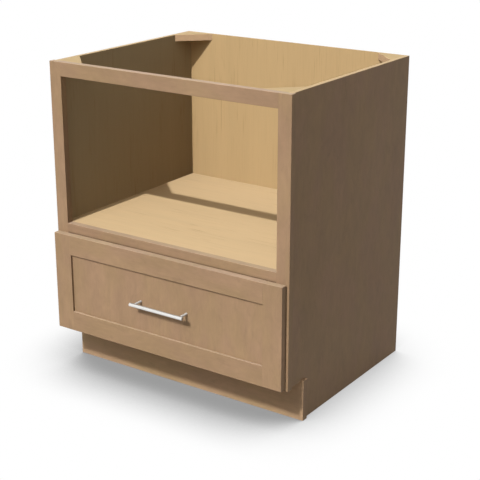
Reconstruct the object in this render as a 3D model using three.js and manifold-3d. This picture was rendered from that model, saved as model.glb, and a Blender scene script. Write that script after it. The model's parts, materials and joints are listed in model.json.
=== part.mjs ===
// A 30 in wide base cabinet for a microwave: an open bay over one drawer.
// Millimetres, +Z up. x = 0 is the middle, y = 0 the front of the face frame, z = 0 the floor.
// Boards that are glued share a face, so each board is given by the planes that it lies between.
import * as THREE from 'three';
import { mergeVertices } from 'three/addons/utils/BufferGeometryUtils.js';
import Module from 'manifold-3d';

const wasm = await Module();
wasm.setup();

// ---------------------------------------------------------------- driving dimensions

// Cabinet
const WIDTH = 762;
const HEIGHT = 876.3;
const DEPTH = 609.6;
const SIDE_THICKNESS = 12.7;
const BACK_THICKNESS = 6.35;
const SHELF_THICKNESS = 19.05;
const SHELF_TONGUE = 9.5;
const FLOOR_THICKNESS = 12.7;
const DADO_DEPTH = 6.35;
const BRACE_THICKNESS = 19.05;
const BRACE_LEG = 79.4;
const BRACE_GLUE = 0.2;

// Toe recess
const TOE_HEIGHT = 114.3;
const TOE_SETBACK = 76.2;
const TOE_BOARD_THICKNESS = 19.05;

// Face frame
const FRAME_THICKNESS = 19.05;
const FRAME_OVERHANG = 6.35;
const FRAME_GROOVE = 6.35;
const STILE_WIDTH = 38.1;
const RAIL_WIDTH = 38.1;
const BAY_HEIGHT = 409.6;
const TENON_LENGTH = 12.7;
const TENON_THICKNESS = 6.35;
const TENON_SHOULDER = 6.35;
const MORTISE_CLEARANCE = 0.5;

// Drawer front, a frame of tongue and groove with a flat panel
const REVEAL = 6.35;
const FRONT_BOTTOM_REVEAL = 6.35;
const FRONT_TOP_REVEAL = 26;
const FRONT_THICKNESS = 19.05;
const FRONT_STANDOFF = 3.2;
const FRONT_MEMBER_WIDTH = 57.15;
const FRONT_RECESS = 6.35;
const PANEL_THICKNESS = 6.35;
const PANEL_GROOVE = 9.5;
const PANEL_FLOAT = 1.2;
const TONGUE_CLEARANCE = 0.3;
const BUMPER_RADIUS = 4.75;
const BUMPER_HEIGHT = 2.9;
const BUMPER_INSET = 15.9;

// Drawer box, with half-blind dovetails
const BOX_WALL = 15.9;
const BOX_LIFT = 14.3;
const BOX_HEADROOM = 20.6;
const BOX_SLIDE_OVERHANG = 5.2;
const BOX_BOTTOM_THICKNESS = 6.35;
const BOX_BOTTOM_RISE = 12.7;
const BOX_BOTTOM_GROOVE = 6.35;
const BOX_BOTTOM_CLEARANCE = 0.3;
const TAIL_LENGTH = 11.1;
const TAIL_PITCH = 25.4;
const TAIL_SLOPE = 0.14;
const TAIL_SHARE = 0.55;
const TAIL_CLEARANCE = 0.05;

// Ball-bearing slides, three members each, that draw out in full
const SLIDE_THICKNESS = 12.7;
const SLIDE_HEIGHT = 45.7;
const SLIDE_FRONT_INSET = 2;
const SLIDE_BACK_CLEARANCE = 42.45;
const SLIDE_RISE = 63.5;
const SLIDE_OVERLAP = 8.8;
const SLIDE_WALL = 1.2;
const SLIDE_LIP = 1.4;
const CABINET_TIP_CLEARANCE = 1.5;
const MIDDLE_TIP_CLEARANCE = 2.2;
const BALL_RADIUS = 1.3;
const BALL_CLEARANCE = 0.3;
const BALL_DEPTH = 7.4;
const BALL_COUNT = 7;
const CAGE_THICKNESS = 0.5;
const CAGE_LENGTH = 200;
const CAGE_MARGIN = 12;

// Rear brackets of the slides
const BRACKET_THICKNESS = 1.5;
const BRACKET_ARM = 60;
const BRACKET_PLATE = 45;
const BRACKET_HEIGHT = 38;

// Bar pull
const BAR_LENGTH = 176;
const BAR_RADIUS = 5;
const BAR_STANDOFF = 33.6;
const POST_SPACING = 152.4;
const POST_RADIUS = 3.2;
const POST_BORE_DEPTH = 14;
const BAR_CHAMFER = 0.8;
const PULL_CLEARANCE = 0.1;

// Screws
const SCREW_CLEARANCE = 0.1;
const WOOD_SCREW = { head: 3.4, headHeight: 0.9, shank: 1.9, length: 13 };
const BRACKET_SCREW = { head: 3.4, headHeight: 1.2, shank: 1.8, length: 6 };
const PULL_SCREW = { head: 4, headHeight: 2.4, shank: 2, length: 41 };
const FRONT_SCREW = { head: 4.2, headHeight: 2.6, shank: 2.1, length: 26 };
const FRONT_SCREW_INSET = 100;
const FRONT_SCREW_EDGE = 10;
const MEMBER_SCREW_INSET = 40;

const ROUND_SEGMENTS = 8;

// ---------------------------------------------------------------- planes worked out from them

const halfWidth = WIDTH / 2;
const sideOuter = halfWidth - FRAME_OVERHANG;
const sideInner = sideOuter - SIDE_THICKNESS;
const dadoEnd = sideInner + DADO_DEPTH;
const openingHalf = halfWidth - STILE_WIDTH;
const backInner = DEPTH - BACK_THICKNESS;
const sideFront = FRAME_THICKNESS - FRAME_GROOVE;
const toeBack = TOE_SETBACK + TOE_BOARD_THICKNESS;
const topRailBottom = HEIGHT - RAIL_WIDTH;
const shelfTop = topRailBottom - BAY_HEIGHT;
const shelfBottom = shelfTop - SHELF_THICKNESS;
const shelfTongueHeights = [shelfBottom, shelfBottom + SHELF_TONGUE];
const midRailBottom = shelfTop - RAIL_WIDTH;
const bottomRailTop = TOE_HEIGHT + RAIL_WIDTH;
const floorTop = TOE_HEIGHT + FLOOR_THICKNESS;

const frontBack = -FRONT_STANDOFF;
const frontFace = frontBack - FRONT_THICKNESS;
const frontHalf = halfWidth - REVEAL;
const frontInner = frontHalf - FRONT_MEMBER_WIDTH;
const frontBottom = TOE_HEIGHT + FRONT_BOTTOM_REVEAL;
const frontTop = shelfTop - FRONT_TOP_REVEAL;
const panelFace = frontFace + FRONT_RECESS;
const panelBack = panelFace + PANEL_THICKNESS;
const pullHeight = (frontBottom + frontTop) / 2;

const boxHalf = openingHalf - SLIDE_THICKNESS;
const boxInner = boxHalf - BOX_WALL;
const boxBottom = bottomRailTop + BOX_LIFT;
const boxTop = midRailBottom - BOX_HEADROOM;
const boxFront = frontBack;
const boxFrontInner = boxFront + BOX_WALL;
const slideFront = SLIDE_FRONT_INSET;
const slideBack = backInner - SLIDE_BACK_CLEARANCE;
const slideTravel = slideBack - slideFront - SLIDE_OVERLAP;
const boxBack = slideBack - BOX_SLIDE_OVERHANG;
const boxBackInner = boxBack - BOX_WALL;
const boxFloor = boxBottom + BOX_BOTTOM_RISE;

const slideCentre = boxBottom + SLIDE_RISE;
const slideHalf = SLIDE_HEIGHT / 2;
const frameScrewPlace = FRAME_THICKNESS / 2;
const bracketScrewHeights = [-BRACKET_HEIGHT / 4, BRACKET_HEIGHT / 4];
const frontScrewPlace = boxInner - FRONT_SCREW_INSET;
const ballSeat = BALL_RADIUS + BALL_CLEARANCE;
const middleHalf = slideHalf - SLIDE_WALL - 2 * ballSeat;
const innerHalf = middleHalf - SLIDE_WALL - 2 * ballSeat;
const cageOuterWeb = SLIDE_WALL + SCREW_CLEARANCE + WOOD_SCREW.headHeight + BALL_CLEARANCE;
const middleWeb = cageOuterWeb + CAGE_THICKNESS + BALL_CLEARANCE;
const cageInnerWeb = middleWeb + SLIDE_WALL + BALL_CLEARANCE;

const barFront = panelFace - BAR_STANDOFF - BAR_RADIUS;

// ---------------------------------------------------------------- materials

const finish = (color, roughness, metalness = 0) => ({ color, roughness, metalness });
const STAINED_MAPLE = finish(0xab8c6d, 0.5);
const MAPLE_LAMINATE = finish(0xc9a878, 0.45);
const MAPLE_EDGE = finish(0xd8bd94, 0.6);
const BOX_MAPLE = finish(0xd9c19a, 0.5);
const ZINC = finish(0xb8bcc0, 0.35, 1);
const NICKEL = finish(0xc8c6c0, 0.3, 1);
const CLEAR_RUBBER = finish(0xd9d9d2, 0.4);

// ---------------------------------------------------------------- solids

function solid(geometry) {
  geometry.deleteAttribute('normal');
  geometry.deleteAttribute('uv');
  const welded = mergeVertices(geometry);
  const mesh = new wasm.Mesh({
    numProp: 3,
    vertProperties: new Float32Array(welded.attributes.position.array),
    triVerts: new Uint32Array(welded.index.array),
  });
  return new wasm.Manifold(mesh);
}

// A board between two planes on each axis.
function board(x, y, z) {
  const geometry = new THREE.BoxGeometry(1, 1, 1);
  const points = geometry.attributes.position;
  for (let i = 0; i < points.count; i++) {
    points.setXYZ(
      i,
      points.getX(i) < 0 ? x[0] : x[1],
      points.getY(i) < 0 ? y[0] : y[1],
      points.getZ(i) < 0 ? z[0] : z[1]
    );
  }
  return solid(geometry);
}

// An outline drawn across one axis and drawn out along it between two planes:
// (y, z) along x, (x, z) along y and (x, y) along z.
function prism(outline, axis, [from, to]) {
  const options = { depth: to - from, bevelEnabled: false, curveSegments: ROUND_SEGMENTS };
  const geometry = new THREE.ExtrudeGeometry(outline, options);
  const points = geometry.attributes.position;
  for (let i = 0; i < points.count; i++) {
    const u = points.getX(i);
    const v = points.getY(i);
    const w = points.getZ(i) < (to - from) / 2 ? from : to;
    if (axis === 'x') points.setXYZ(i, w, u, v);
    if (axis === 'y') points.setXYZ(i, u, w, v);
    if (axis === 'z') points.setXYZ(i, u, v, w);
  }
  if (axis === 'y') turnFaces(points);
  return solid(geometry);
}

// Swaps two corners of each triangle, so that a mirrored solid faces out again.
function turnFaces(points) {
  const first = new THREE.Vector3();
  const second = new THREE.Vector3();
  for (let i = 0; i < points.count; i += 3) {
    first.fromBufferAttribute(points, i);
    second.fromBufferAttribute(points, i + 1);
    points.setXYZ(i, second.x, second.y, second.z);
    points.setXYZ(i + 1, first.x, first.y, first.z);
  }
}

const polygon = (corners) => new THREE.Shape(corners.map(([u, v]) => new THREE.Vector2(u, v)));

function disc(u, v, radius) {
  const outline = new THREE.Shape();
  outline.absarc(u, v, radius, 0, 2 * Math.PI);
  return outline;
}

const rod = (u, v, radius, axis, span) => prism(disc(u, v, radius), axis, span);

function mesh(name, body, look) {
  const shape = body.isBufferGeometry ? body : geometryOf(body);
  const piece = new THREE.Mesh(shape, new THREE.MeshStandardMaterial({ ...look, flatShading: true }));
  piece.name = name;
  return piece;
}

function geometryOf(body) {
  const { vertProperties, triVerts } = body.getMesh();
  const geometry = new THREE.BufferGeometry();
  geometry.setAttribute('position', new THREE.BufferAttribute(vertProperties, 3));
  geometry.setIndex(new THREE.BufferAttribute(triVerts, 1));
  return geometry;
}

function group(...pieces) {
  const assembly = new THREE.Group();
  assembly.add(...pieces.flat());
  return assembly;
}

// Both sides of the cabinet: its name, and its direction along x.
const SIDES = [['left', -1], ['right', 1]];
const ENDS = ['front', 'back'];
const LEVELS = ['lower', 'upper'];
const span = (a, b) => (a < b ? [a, b] : [b, a]);

// ---------------------------------------------------------------- face frame

function tenon(side, [bottom, top], clearance) {
  const y0 = (FRAME_THICKNESS - TENON_THICKNESS) / 2;
  const end = openingHalf + TENON_LENGTH + clearance;
  return board(
    span(side * openingHalf, side * end),
    [y0, y0 + TENON_THICKNESS],
    [bottom + TENON_SHOULDER, top - TENON_SHOULDER]
  );
}

const RAILS = {
  top_rail: [topRailBottom, HEIGHT],
  mid_rail: [midRailBottom, shelfTop],
  bottom_rail: [TOE_HEIGHT, bottomRailTop],
};

function frameStile(name, side) {
  let body = board(span(side * openingHalf, side * halfWidth), [0, FRAME_THICKNESS], [TOE_HEIGHT, HEIGHT]);
  const groove = board(
    span(side * sideInner, side * sideOuter),
    [sideFront, FRAME_THICKNESS],
    [TOE_HEIGHT, HEIGHT]
  );
  body = body.subtract(groove);
  for (const height of Object.values(RAILS)) {
    body = body.subtract(tenon(side, height, MORTISE_CLEARANCE));
  }
  body = body.subtract(memberScrewHole(side, frameScrewPlace, slideCentre, frameScrewDepths));
  return mesh(`frame_stile_${name}`, body, STAINED_MAPLE);
}

function frameRail(name, height) {
  let body = board([-openingHalf, openingHalf], [0, FRAME_THICKNESS], height);
  for (const [, side] of SIDES) body = body.add(tenon(side, height, 0));
  return mesh(name, body, STAINED_MAPLE);
}

function faceFrame() {
  const stiles = SIDES.map(([name, side]) => frameStile(name, side));
  const rails = Object.entries(RAILS).map(([name, height]) => frameRail(name, height));
  return group(stiles, rails);
}

// ---------------------------------------------------------------- carcase

function sidePanel(name, side) {
  const outline = polygon([
    [sideFront, TOE_HEIGHT],
    [toeBack, TOE_HEIGHT],
    [toeBack, 0],
    [DEPTH, 0],
    [DEPTH, HEIGHT],
    [sideFront, HEIGHT],
  ]);
  const inner = span(side * sideInner, side * dadoEnd);
  const body = prism(outline, 'x', span(side * sideInner, side * sideOuter))
    .subtract(board(inner, [FRAME_THICKNESS, backInner], shelfTongueHeights))
    .subtract(board(inner, [FRAME_THICKNESS, backInner], [TOE_HEIGHT, floorTop]))
    .subtract(board(inner, [backInner, DEPTH], [0, HEIGHT]));
  return mesh(`side_panel_${name}`, body, STAINED_MAPLE);
}

// A right-angled block in each top corner, screwed to the worktop from below.
function cornerBraces() {
  const leg = BRACE_LEG - BRACE_GLUE;
  const outline = polygon([[0, 0], [leg, 0], [0, leg]]);
  const across = sideInner - BRACE_GLUE;
  const corners = [
    ['front_left', -across, FRAME_THICKNESS + BRACE_GLUE, 0],
    ['front_right', across, FRAME_THICKNESS + BRACE_GLUE, Math.PI / 2],
    ['back_right', across, backInner - BRACE_GLUE, Math.PI],
    ['back_left', -across, backInner - BRACE_GLUE, -Math.PI / 2],
  ];
  return corners.map(([name, x, y, turn]) => {
    const brace = mesh(`corner_brace_${name}`, prism(outline, 'z', [0, BRACE_THICKNESS]), MAPLE_EDGE);
    brace.position.set(x, y, HEIGHT - BRACE_THICKNESS);
    brace.rotation.z = turn;
    return brace;
  });
}

// The shelf's top is clear from wall to wall, and a tongue under it runs into the side panels.
function microwaveShelf() {
  const depths = [FRAME_THICKNESS, backInner];
  const body = board([-sideInner, sideInner], depths, [shelfBottom, shelfTop])
    .add(board([-dadoEnd, dadoEnd], depths, shelfTongueHeights));
  return mesh('microwave_shelf', body, MAPLE_LAMINATE);
}

function carcase() {
  const inside = [-dadoEnd, dadoEnd];
  const floor = board(inside, [FRAME_THICKNESS, backInner], [TOE_HEIGHT, floorTop]);
  const toeBoard = board([-halfWidth, halfWidth], [TOE_SETBACK, toeBack], [0, TOE_HEIGHT]);
  let back = board(inside, [backInner, DEPTH], [0, HEIGHT]);
  for (const [, side] of SIDES) {
    for (const height of bracketScrewHeights) {
      back = back.subtract(bracketScrewHole(side, slideCentre + height));
    }
  }
  return group(
    SIDES.map(([name, side]) => sidePanel(name, side)),
    mesh('back_panel', back, MAPLE_LAMINATE),
    microwaveShelf(),
    mesh('cabinet_floor', floor, MAPLE_LAMINATE),
    mesh('toe_board', toeBoard, STAINED_MAPLE),
    cornerBraces()
  );
}

// ---------------------------------------------------------------- screws

// A pan-head screw along y. Its head stands on y = 0 and its point is at -length.
function screwGeometry({ head, headHeight, shank, length }) {
  const profile = [
    [0, -length],
    [shank, -length + 1.5 * shank],
    [shank, 0],
    [head, 0],
    [head, 0.55 * headHeight],
    [0.7 * head, headHeight],
    [0, headHeight],
  ];
  const outline = profile.map(([radius, y]) => new THREE.Vector2(radius, y));
  return geometryOf(solid(new THREE.LatheGeometry(outline, 12)));
}

function screw(name, kind, position, rotation = [0, 0, 0]) {
  const piece = mesh(name, screwGeometry(kind), ZINC);
  piece.position.set(...position);
  piece.rotation.set(...rotation);
  return piece;
}

// ---------------------------------------------------------------- slides

// The section of a steel channel, seen from the front. Depths run from the edge of the face
// frame's opening towards the drawer, so a channel opens either way with its tip's depth.
function channel(side, { web, tip, half, wall, lip }) {
  const x = (depth) => side * (openingHalf - depth);
  const way = Math.sign(tip - web);
  const bend = x(web + way * 1.6 * wall);
  const corner = half - 1.6 * wall;
  const webInside = x(web + way * wall);
  const lipInside = x(tip - way * wall);
  const inside = half - wall;
  const outline = new THREE.Shape();
  outline.moveTo(x(tip), half);
  outline.lineTo(bend, half);
  outline.quadraticCurveTo(x(web), half, x(web), corner);
  outline.lineTo(x(web), -corner);
  outline.quadraticCurveTo(x(web), -half, bend, -half);
  outline.lineTo(x(tip), -half);
  outline.lineTo(x(tip), -inside + lip);
  outline.lineTo(lipInside, -inside + lip);
  outline.lineTo(lipInside, -inside);
  outline.lineTo(webInside, -inside);
  outline.lineTo(webInside, inside);
  outline.lineTo(lipInside, inside);
  outline.lineTo(lipInside, inside - lip);
  outline.lineTo(x(tip), inside - lip);
  return outline;
}

const CABINET_MEMBER = {
  web: 0,
  tip: SLIDE_THICKNESS - CABINET_TIP_CLEARANCE,
  half: slideHalf,
  wall: SLIDE_WALL,
  lip: SLIDE_LIP,
};
const MIDDLE_MEMBER = {
  web: middleWeb,
  tip: SLIDE_THICKNESS - MIDDLE_TIP_CLEARANCE,
  half: middleHalf,
  wall: SLIDE_WALL,
  lip: SLIDE_LIP,
};
const DRAWER_MEMBER = {
  web: SLIDE_THICKNESS,
  tip: cageInnerWeb + CAGE_THICKNESS + BALL_CLEARANCE,
  half: innerHalf,
  wall: SLIDE_WALL,
  lip: 0,
};
const OUTER_CAGE = { web: cageOuterWeb, race: middleHalf + ballSeat };
const INNER_CAGE = { web: cageInnerWeb, race: innerHalf + ballSeat };

function slideMember(side, section) {
  return prism(channel(side, section), 'y', [slideFront, slideBack]);
}

// A bent strip that keeps one row of balls over the member inside it and one row under it.
function ballCage(name, side, { web, race }) {
  const cageFront = slideFront + slideTravel / 4 + CAGE_MARGIN;
  const section = {
    web,
    tip: BALL_DEPTH + BALL_RADIUS + BALL_CLEARANCE,
    half: race + CAGE_THICKNESS / 2,
    wall: CAGE_THICKNESS,
    lip: 0,
  };
  let body = prism(channel(side, section), 'y', [cageFront, cageFront + CAGE_LENGTH]);
  const pitch = CAGE_LENGTH / BALL_COUNT;
  for (let i = 0; i < BALL_COUNT; i++) {
    for (const height of [-race, race]) {
      const ball = new THREE.SphereGeometry(BALL_RADIUS, 6, 4);
      ball.translate(side * (openingHalf - BALL_DEPTH), cageFront + (i + 0.5) * pitch, height);
      body = body.add(solid(ball));
    }
  }
  return mesh(name, body, ZINC);
}

// Holes for the screws that hold a member, between two depths from the opening's edge.
function memberScrewHole(side, y, height, depths) {
  const radius = WOOD_SCREW.shank + SCREW_CLEARANCE;
  const [from, to] = depths.map((depth) => side * (openingHalf - depth));
  return rod(y, height, radius, 'x', span(from, to));
}

const frameScrewDepths = [SLIDE_WALL, SLIDE_WALL - WOOD_SCREW.length - 1];
const boxScrewDepths = [SLIDE_THICKNESS - SLIDE_WALL, SLIDE_THICKNESS - SLIDE_WALL + WOOD_SCREW.length + 1];
const boxScrewPlaces = [slideFront + MEMBER_SCREW_INSET, slideBack - MEMBER_SCREW_INSET];

function frameScrew(name, side) {
  const x = side * (openingHalf - SLIDE_WALL - SCREW_CLEARANCE);
  const place = [x, frameScrewPlace, 0];
  return screw(`frame_screw_${name}`, WOOD_SCREW, place, [0, 0, (side * Math.PI) / 2]);
}

function boxScrew(name, side, y) {
  const x = side * (openingHalf - SLIDE_THICKNESS + SLIDE_WALL + SCREW_CLEARANCE);
  return screw(name, WOOD_SCREW, [x, y, 0], [0, 0, (-side * Math.PI) / 2]);
}

// A steel angle that carries the rear end of the cabinet member on the back panel.
function rearBracket(name, side) {
  const outside = side * (openingHalf + BRACKET_THICKNESS);
  const inside = side * openingHalf;
  const edge = side * (openingHalf + BRACKET_THICKNESS - BRACKET_PLATE);
  const face = backInner - BRACKET_THICKNESS;
  const outline = new THREE.Shape();
  outline.moveTo(outside, backInner - BRACKET_ARM);
  outline.lineTo(outside, face);
  outline.quadraticCurveTo(outside, backInner, inside, backInner);
  outline.lineTo(edge, backInner);
  outline.lineTo(edge, face);
  outline.lineTo(inside, face);
  outline.lineTo(inside, backInner - BRACKET_ARM);
  let body = prism(outline, 'z', [-BRACKET_HEIGHT / 2, BRACKET_HEIGHT / 2]);
  for (const height of bracketScrewHeights) {
    body = body.subtract(bracketScrewHole(side, height));
  }
  return mesh(`rear_bracket_${name}`, body, ZINC);
}

function bracketScrewHole(side, height) {
  const radius = BRACKET_SCREW.shank + SCREW_CLEARANCE;
  const x = side * (openingHalf - BRACKET_PLATE / 2);
  const from = backInner - BRACKET_THICKNESS;
  return rod(x, height, radius, 'y', [from, from + BRACKET_SCREW.length]);
}

function bracketScrew(name, side, height) {
  const y = backInner - BRACKET_THICKNESS - SCREW_CLEARANCE;
  const place = [side * (openingHalf - BRACKET_PLATE / 2), y, height];
  return screw(name, BRACKET_SCREW, place, [Math.PI, 0, 0]);
}

function slide(name, side) {
  const cabinetMember = slideMember(side, CABINET_MEMBER).subtract(
    memberScrewHole(side, frameScrewPlace, 0, [0, SLIDE_WALL])
  );
  let drawerMember = slideMember(side, DRAWER_MEMBER);
  for (const y of boxScrewPlaces) {
    const depths = [SLIDE_THICKNESS - SLIDE_WALL, SLIDE_THICKNESS];
    drawerMember = drawerMember.subtract(memberScrewHole(side, y, 0, depths));
  }
  const assembly = group(
    mesh(`cabinet_member_${name}`, cabinetMember, ZINC),
    mesh(`middle_member_${name}`, slideMember(side, MIDDLE_MEMBER), ZINC),
    mesh(`drawer_member_${name}`, drawerMember, ZINC),
    ballCage(`outer_ball_cage_${name}`, side, OUTER_CAGE),
    ballCage(`inner_ball_cage_${name}`, side, INNER_CAGE),
    rearBracket(name, side),
    frameScrew(name, side),
    boxScrewPlaces.map((y, i) => boxScrew(`box_screw_${name}_${ENDS[i]}`, side, y)),
    bracketScrewHeights.map((z, i) => bracketScrew(`bracket_screw_${name}_${LEVELS[i]}`, side, z))
  );
  assembly.position.z = slideCentre;
  return assembly;
}

// ---------------------------------------------------------------- drawer box

const boxHeights = [boxBottom, boxTop];
const boxBottomReach = boxInner + BOX_BOTTOM_GROOVE;

// The board under the drawer box's bottom panel, and with a clearance the groove that holds it.
function boxBottomBoard(clearance) {
  const reach = boxBottomReach - BOX_BOTTOM_CLEARANCE + clearance;
  const inset = BOX_BOTTOM_GROOVE - BOX_BOTTOM_CLEARANCE + clearance;
  return board(
    [-reach, reach],
    [boxFrontInner - inset, boxBackInner + inset],
    [boxFloor, boxFloor + BOX_BOTTOM_THICKNESS + clearance]
  );
}

// The dovetails at one end of a side, wider at their tips. With a clearance they cut the sockets.
function dovetails(side, root, way, clearance) {
  const count = Math.round((boxTop - boxBottom) / TAIL_PITCH);
  const pitch = (boxTop - boxBottom) / count;
  const tip = root + way * (TAIL_LENGTH + clearance);
  const rootHalf = (TAIL_SHARE * pitch - TAIL_LENGTH * TAIL_SLOPE) / 2 + clearance;
  const tipHalf = rootHalf + (TAIL_LENGTH + clearance) * TAIL_SLOPE;
  const tails = [];
  for (let i = 0; i < count; i++) {
    const z = boxBottom + (i + 0.5) * pitch;
    const outline = polygon([
      [root, z - rootHalf],
      [tip, z - tipHalf],
      [tip, z + tipHalf],
      [root, z + rootHalf],
    ]);
    tails.push(prism(outline, 'x', span(side * boxInner, side * boxHalf)));
  }
  return tails;
}

function boxSide(name, side) {
  let body = board(span(side * boxInner, side * boxHalf), [boxFrontInner, boxBackInner], boxHeights);
  for (const tail of dovetails(side, boxFrontInner, -1, 0)) body = body.add(tail);
  for (const tail of dovetails(side, boxBackInner, 1, 0)) body = body.add(tail);
  body = body.subtract(boxBottomBoard(BOX_BOTTOM_CLEARANCE));
  for (const y of boxScrewPlaces) {
    body = body.subtract(memberScrewHole(side, y, slideCentre, boxScrewDepths));
  }
  return mesh(`box_side_${name}`, body, BOX_MAPLE);
}

function boxEnd(name, [from, to], root, way) {
  let body = board([-boxHalf, boxHalf], [from, to], boxHeights);
  for (const [, side] of SIDES) {
    for (const socket of dovetails(side, root, way, TAIL_CLEARANCE)) body = body.subtract(socket);
  }
  body = body.subtract(boxBottomBoard(BOX_BOTTOM_CLEARANCE));
  if (way < 0) {
    for (const hole of frontFixingHoles([boxFront, boxFrontInner])) body = body.subtract(hole);
  }
  return mesh(name, body, BOX_MAPLE);
}

function drawerBox() {
  return group(
    SIDES.map(([name, side]) => boxSide(name, side)),
    boxEnd('box_front', [boxFront, boxFrontInner], boxFrontInner, -1),
    boxEnd('box_back', [boxBackInner, boxBack], boxBackInner, 1),
    mesh('box_bottom', boxBottomBoard(0), MAPLE_LAMINATE)
  );
}

// ---------------------------------------------------------------- drawer front

const frontHeights = [frontBottom, frontTop];
const frontDepths = [frontFace, frontBack];
const tongueDepths = [panelFace, panelBack];
const frontScrewLevel = boxTop - FRONT_SCREW_EDGE;

// The holes for the screws that hold the drawer front and the pull, between two planes.
function frontFixingHoles(depths) {
  const holes = [];
  for (const [, side] of SIDES) {
    const pullRadius = PULL_SCREW.shank + SCREW_CLEARANCE;
    const frontRadius = FRONT_SCREW.shank + SCREW_CLEARANCE;
    holes.push(rod((side * POST_SPACING) / 2, pullHeight, pullRadius, 'y', depths));
    holes.push(rod(side * frontScrewPlace, frontScrewLevel, frontRadius, 'y', depths));
  }
  return holes;
}

function frontStile(name, side) {
  const width = span(side * frontInner, side * frontHalf);
  const groove = span(side * frontInner, side * (frontInner + PANEL_GROOVE));
  const body = board(width, frontDepths, frontHeights).subtract(board(groove, tongueDepths, frontHeights));
  return mesh(`front_stile_${name}`, body, STAINED_MAPLE);
}

// A rail with a tongue at each end, and a groove for the panel in the edge that faces it.
function frontRail(name, outerEdge, way) {
  const innerEdge = outerEdge + way * FRONT_MEMBER_WIDTH;
  const tongue = frontInner + PANEL_GROOVE - TONGUE_CLEARANCE;
  const heights = span(outerEdge, innerEdge);
  const groove = span(innerEdge, innerEdge - way * PANEL_GROOVE);
  let body = board([-frontInner, frontInner], frontDepths, heights)
    .add(board([-tongue, tongue], tongueDepths, heights))
    .subtract(board([-tongue, tongue], tongueDepths, groove));
  if (way < 0) {
    const reach = [boxFrontInner - FRONT_SCREW.length - 1, frontBack];
    for (const hole of frontFixingHoles(reach)) body = body.subtract(hole);
  }
  return mesh(`front_rail_${name}`, body, STAINED_MAPLE);
}

function frontPanel() {
  const tuck = PANEL_GROOVE - PANEL_FLOAT;
  const reach = frontInner + tuck;
  const heights = [frontBottom + FRONT_MEMBER_WIDTH - tuck, frontTop - FRONT_MEMBER_WIDTH + tuck];
  let body = board([-reach, reach], tongueDepths, heights);
  for (const hole of frontFixingHoles(tongueDepths)) body = body.subtract(hole);
  return mesh('front_panel', body, STAINED_MAPLE);
}

// A soft dome that stands off the back of the drawer front and lands on the face frame.
function bumper(name, side, z) {
  const outline = new THREE.Path();
  outline.moveTo(0, 0);
  outline.lineTo(BUMPER_RADIUS, 0);
  outline.quadraticCurveTo(BUMPER_RADIUS, BUMPER_HEIGHT, 0, BUMPER_HEIGHT);
  const dome = new THREE.LatheGeometry(outline.getPoints(4), 12);
  const piece = mesh(name, geometryOf(solid(dome)), CLEAR_RUBBER);
  piece.position.set(side * (frontHalf - BUMPER_INSET), frontBack, z);
  return piece;
}

function bumpers() {
  const levels = [frontBottom + BUMPER_INSET, frontTop - BUMPER_INSET];
  return SIDES.flatMap(([name, side]) =>
    levels.map((z, i) => bumper(`bumper_${name}_${LEVELS[i]}`, side, z))
  );
}

function frontScrews() {
  const y = boxFrontInner + SCREW_CLEARANCE;
  return SIDES.flatMap(([name, side]) => [
    screw(`front_screw_${name}`, FRONT_SCREW, [side * frontScrewPlace, y, frontScrewLevel]),
    screw(`pull_screw_${name}`, PULL_SCREW, [(side * POST_SPACING) / 2, y, pullHeight]),
  ]);
}

function drawerFront() {
  return group(
    SIDES.map(([name, side]) => frontStile(name, side)),
    frontRail('top', frontTop, -1),
    frontRail('bottom', frontBottom, 1),
    frontPanel(),
    bumpers(),
    frontScrews()
  );
}

// ---------------------------------------------------------------- pull

// A round bar on two posts. In its own frame y = 0 is the panel and the bar runs along x.
function pull() {
  const half = BAR_LENGTH / 2;
  const outline = [
    [0, -half],
    [BAR_RADIUS - BAR_CHAMFER, -half],
    [BAR_RADIUS, -half + BAR_CHAMFER],
    [BAR_RADIUS, half - BAR_CHAMFER],
    [BAR_RADIUS - BAR_CHAMFER, half],
    [0, half],
  ].map(([radius, along]) => new THREE.Vector2(radius, along));
  const round = new THREE.LatheGeometry(outline, 2 * ROUND_SEGMENTS);
  round.rotateZ(Math.PI / 2);
  round.translate(0, -BAR_STANDOFF, 0);
  let bar = solid(round);
  const posts = SIDES.map(([name, side]) => {
    const x = (side * POST_SPACING) / 2;
    bar = bar.subtract(rod(x, 0, POST_RADIUS + PULL_CLEARANCE, 'y', [-BAR_STANDOFF, 0]));
    const bore = rod(x, 0, PULL_SCREW.shank + SCREW_CLEARANCE, 'y', [-POST_BORE_DEPTH, 0]);
    const post = rod(x, 0, POST_RADIUS, 'y', [PULL_CLEARANCE - BAR_STANDOFF, 0]).subtract(bore);
    return mesh(`pull_post_${name}`, post, NICKEL);
  });
  const assembly = group(mesh('pull_bar', bar, NICKEL), posts);
  assembly.position.set(0, panelFace, pullHeight);
  return assembly;
}

// ---------------------------------------------------------------- the cabinet

const cabinet = group(
  faceFrame(),
  carcase(),
  SIDES.map(([name, side]) => slide(name, side)),
  drawerBox(),
  drawerFront(),
  pull()
);
// The origin moves to the middle of the footprint, which runs from the pull to the back.
cabinet.position.y = -(barFront + DEPTH) / 2;

export default cabinet;
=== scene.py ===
"""A base cabinet for a microwave: stained maple face frame and drawer front, pale maple inside."""
import json
import math

import bmesh
import bpy
from mathutils import Matrix, Vector
from mathutils.bvhtree import BVHTree


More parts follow.
